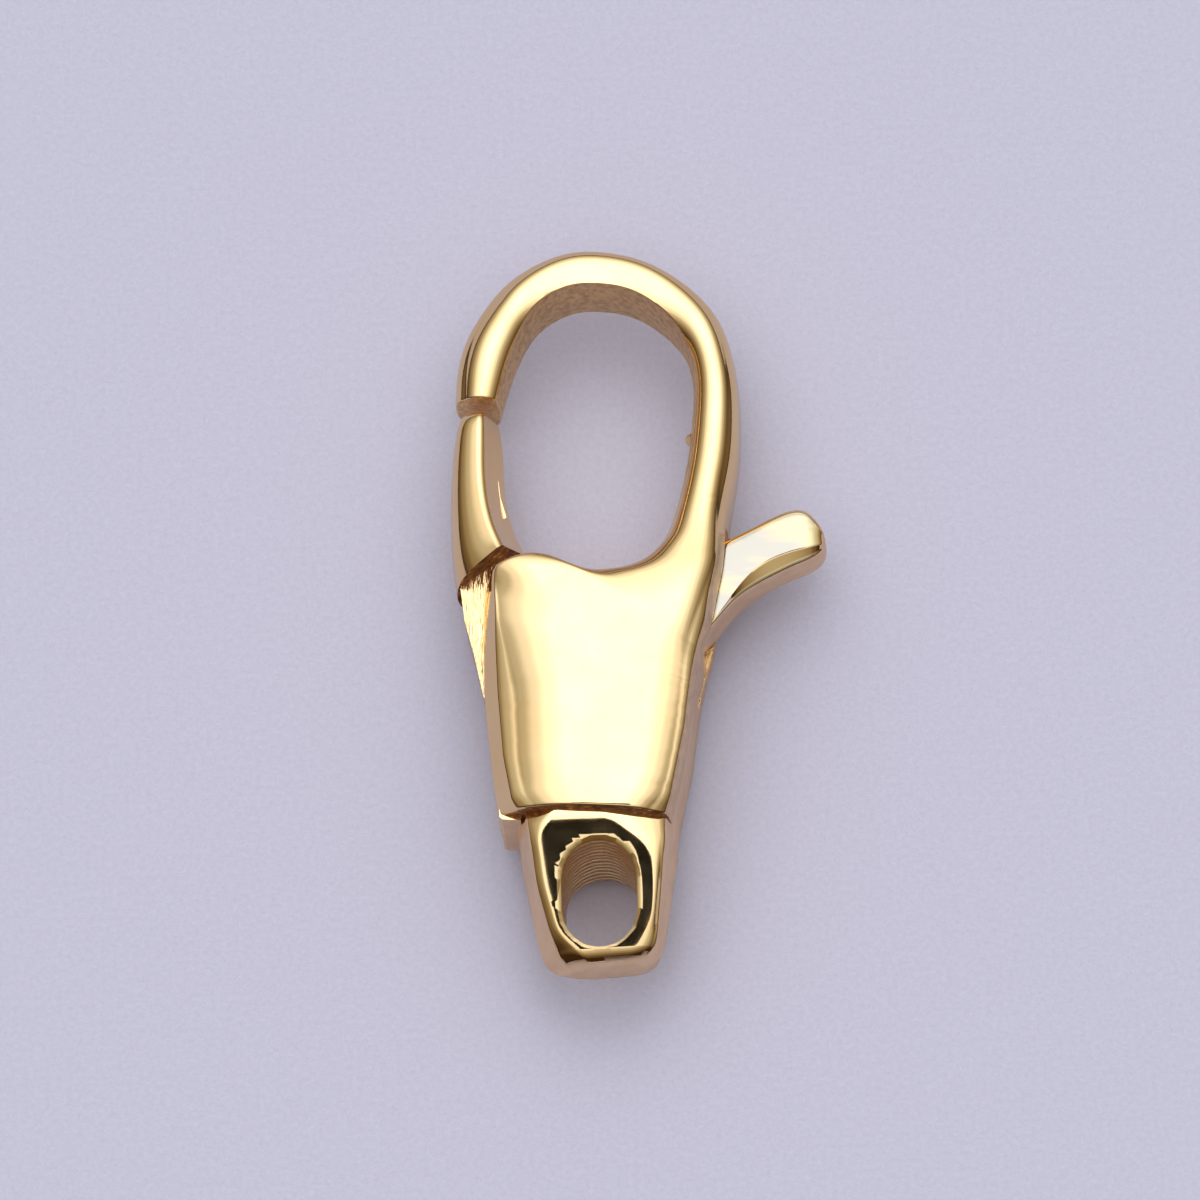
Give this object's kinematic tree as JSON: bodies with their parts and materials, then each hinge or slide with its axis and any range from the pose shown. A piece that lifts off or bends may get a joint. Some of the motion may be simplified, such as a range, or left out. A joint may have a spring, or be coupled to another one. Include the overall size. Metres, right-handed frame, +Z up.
{
  "type": "lobster clasp",
  "caption": "Cast jewellery clasp: a sprung lever's gate closes the hook's loop, a thumb tab opens it, and an oval eye in the tail takes the chain's ring.",
  "frame": {"origin": "middle of the clasp's underside, half way along its length and across its width", "axes": "+X across the clasp towards the thumb tab, +Y along it towards the hook's crown, +Z up from the face that it lies on"},
  "size_m": [0.0098, 0.02, 0.0042],
  "materials": {
    "gold_plate": "polished gold plate on cast brass",
    "pin_metal": "plain turned pin"
  },
  "bodies": {
    "body": {"clasp_body": "gold_plate", "pivot_pin": "pin_metal"},
    "lever": {"trigger_lever": "gold_plate"}
  },
  "joints": [
    {"name": "lever_pivot", "type": "hinge", "parent": "body", "child": "lever", "pos_m": [-0.00138, -0.00116, 0.0021], "axis": [0, 0, -1], "range_deg": [0, 25], "stiffness_Nm_per_rad": 0.02, "springref_deg": -11.46}
  ]
}
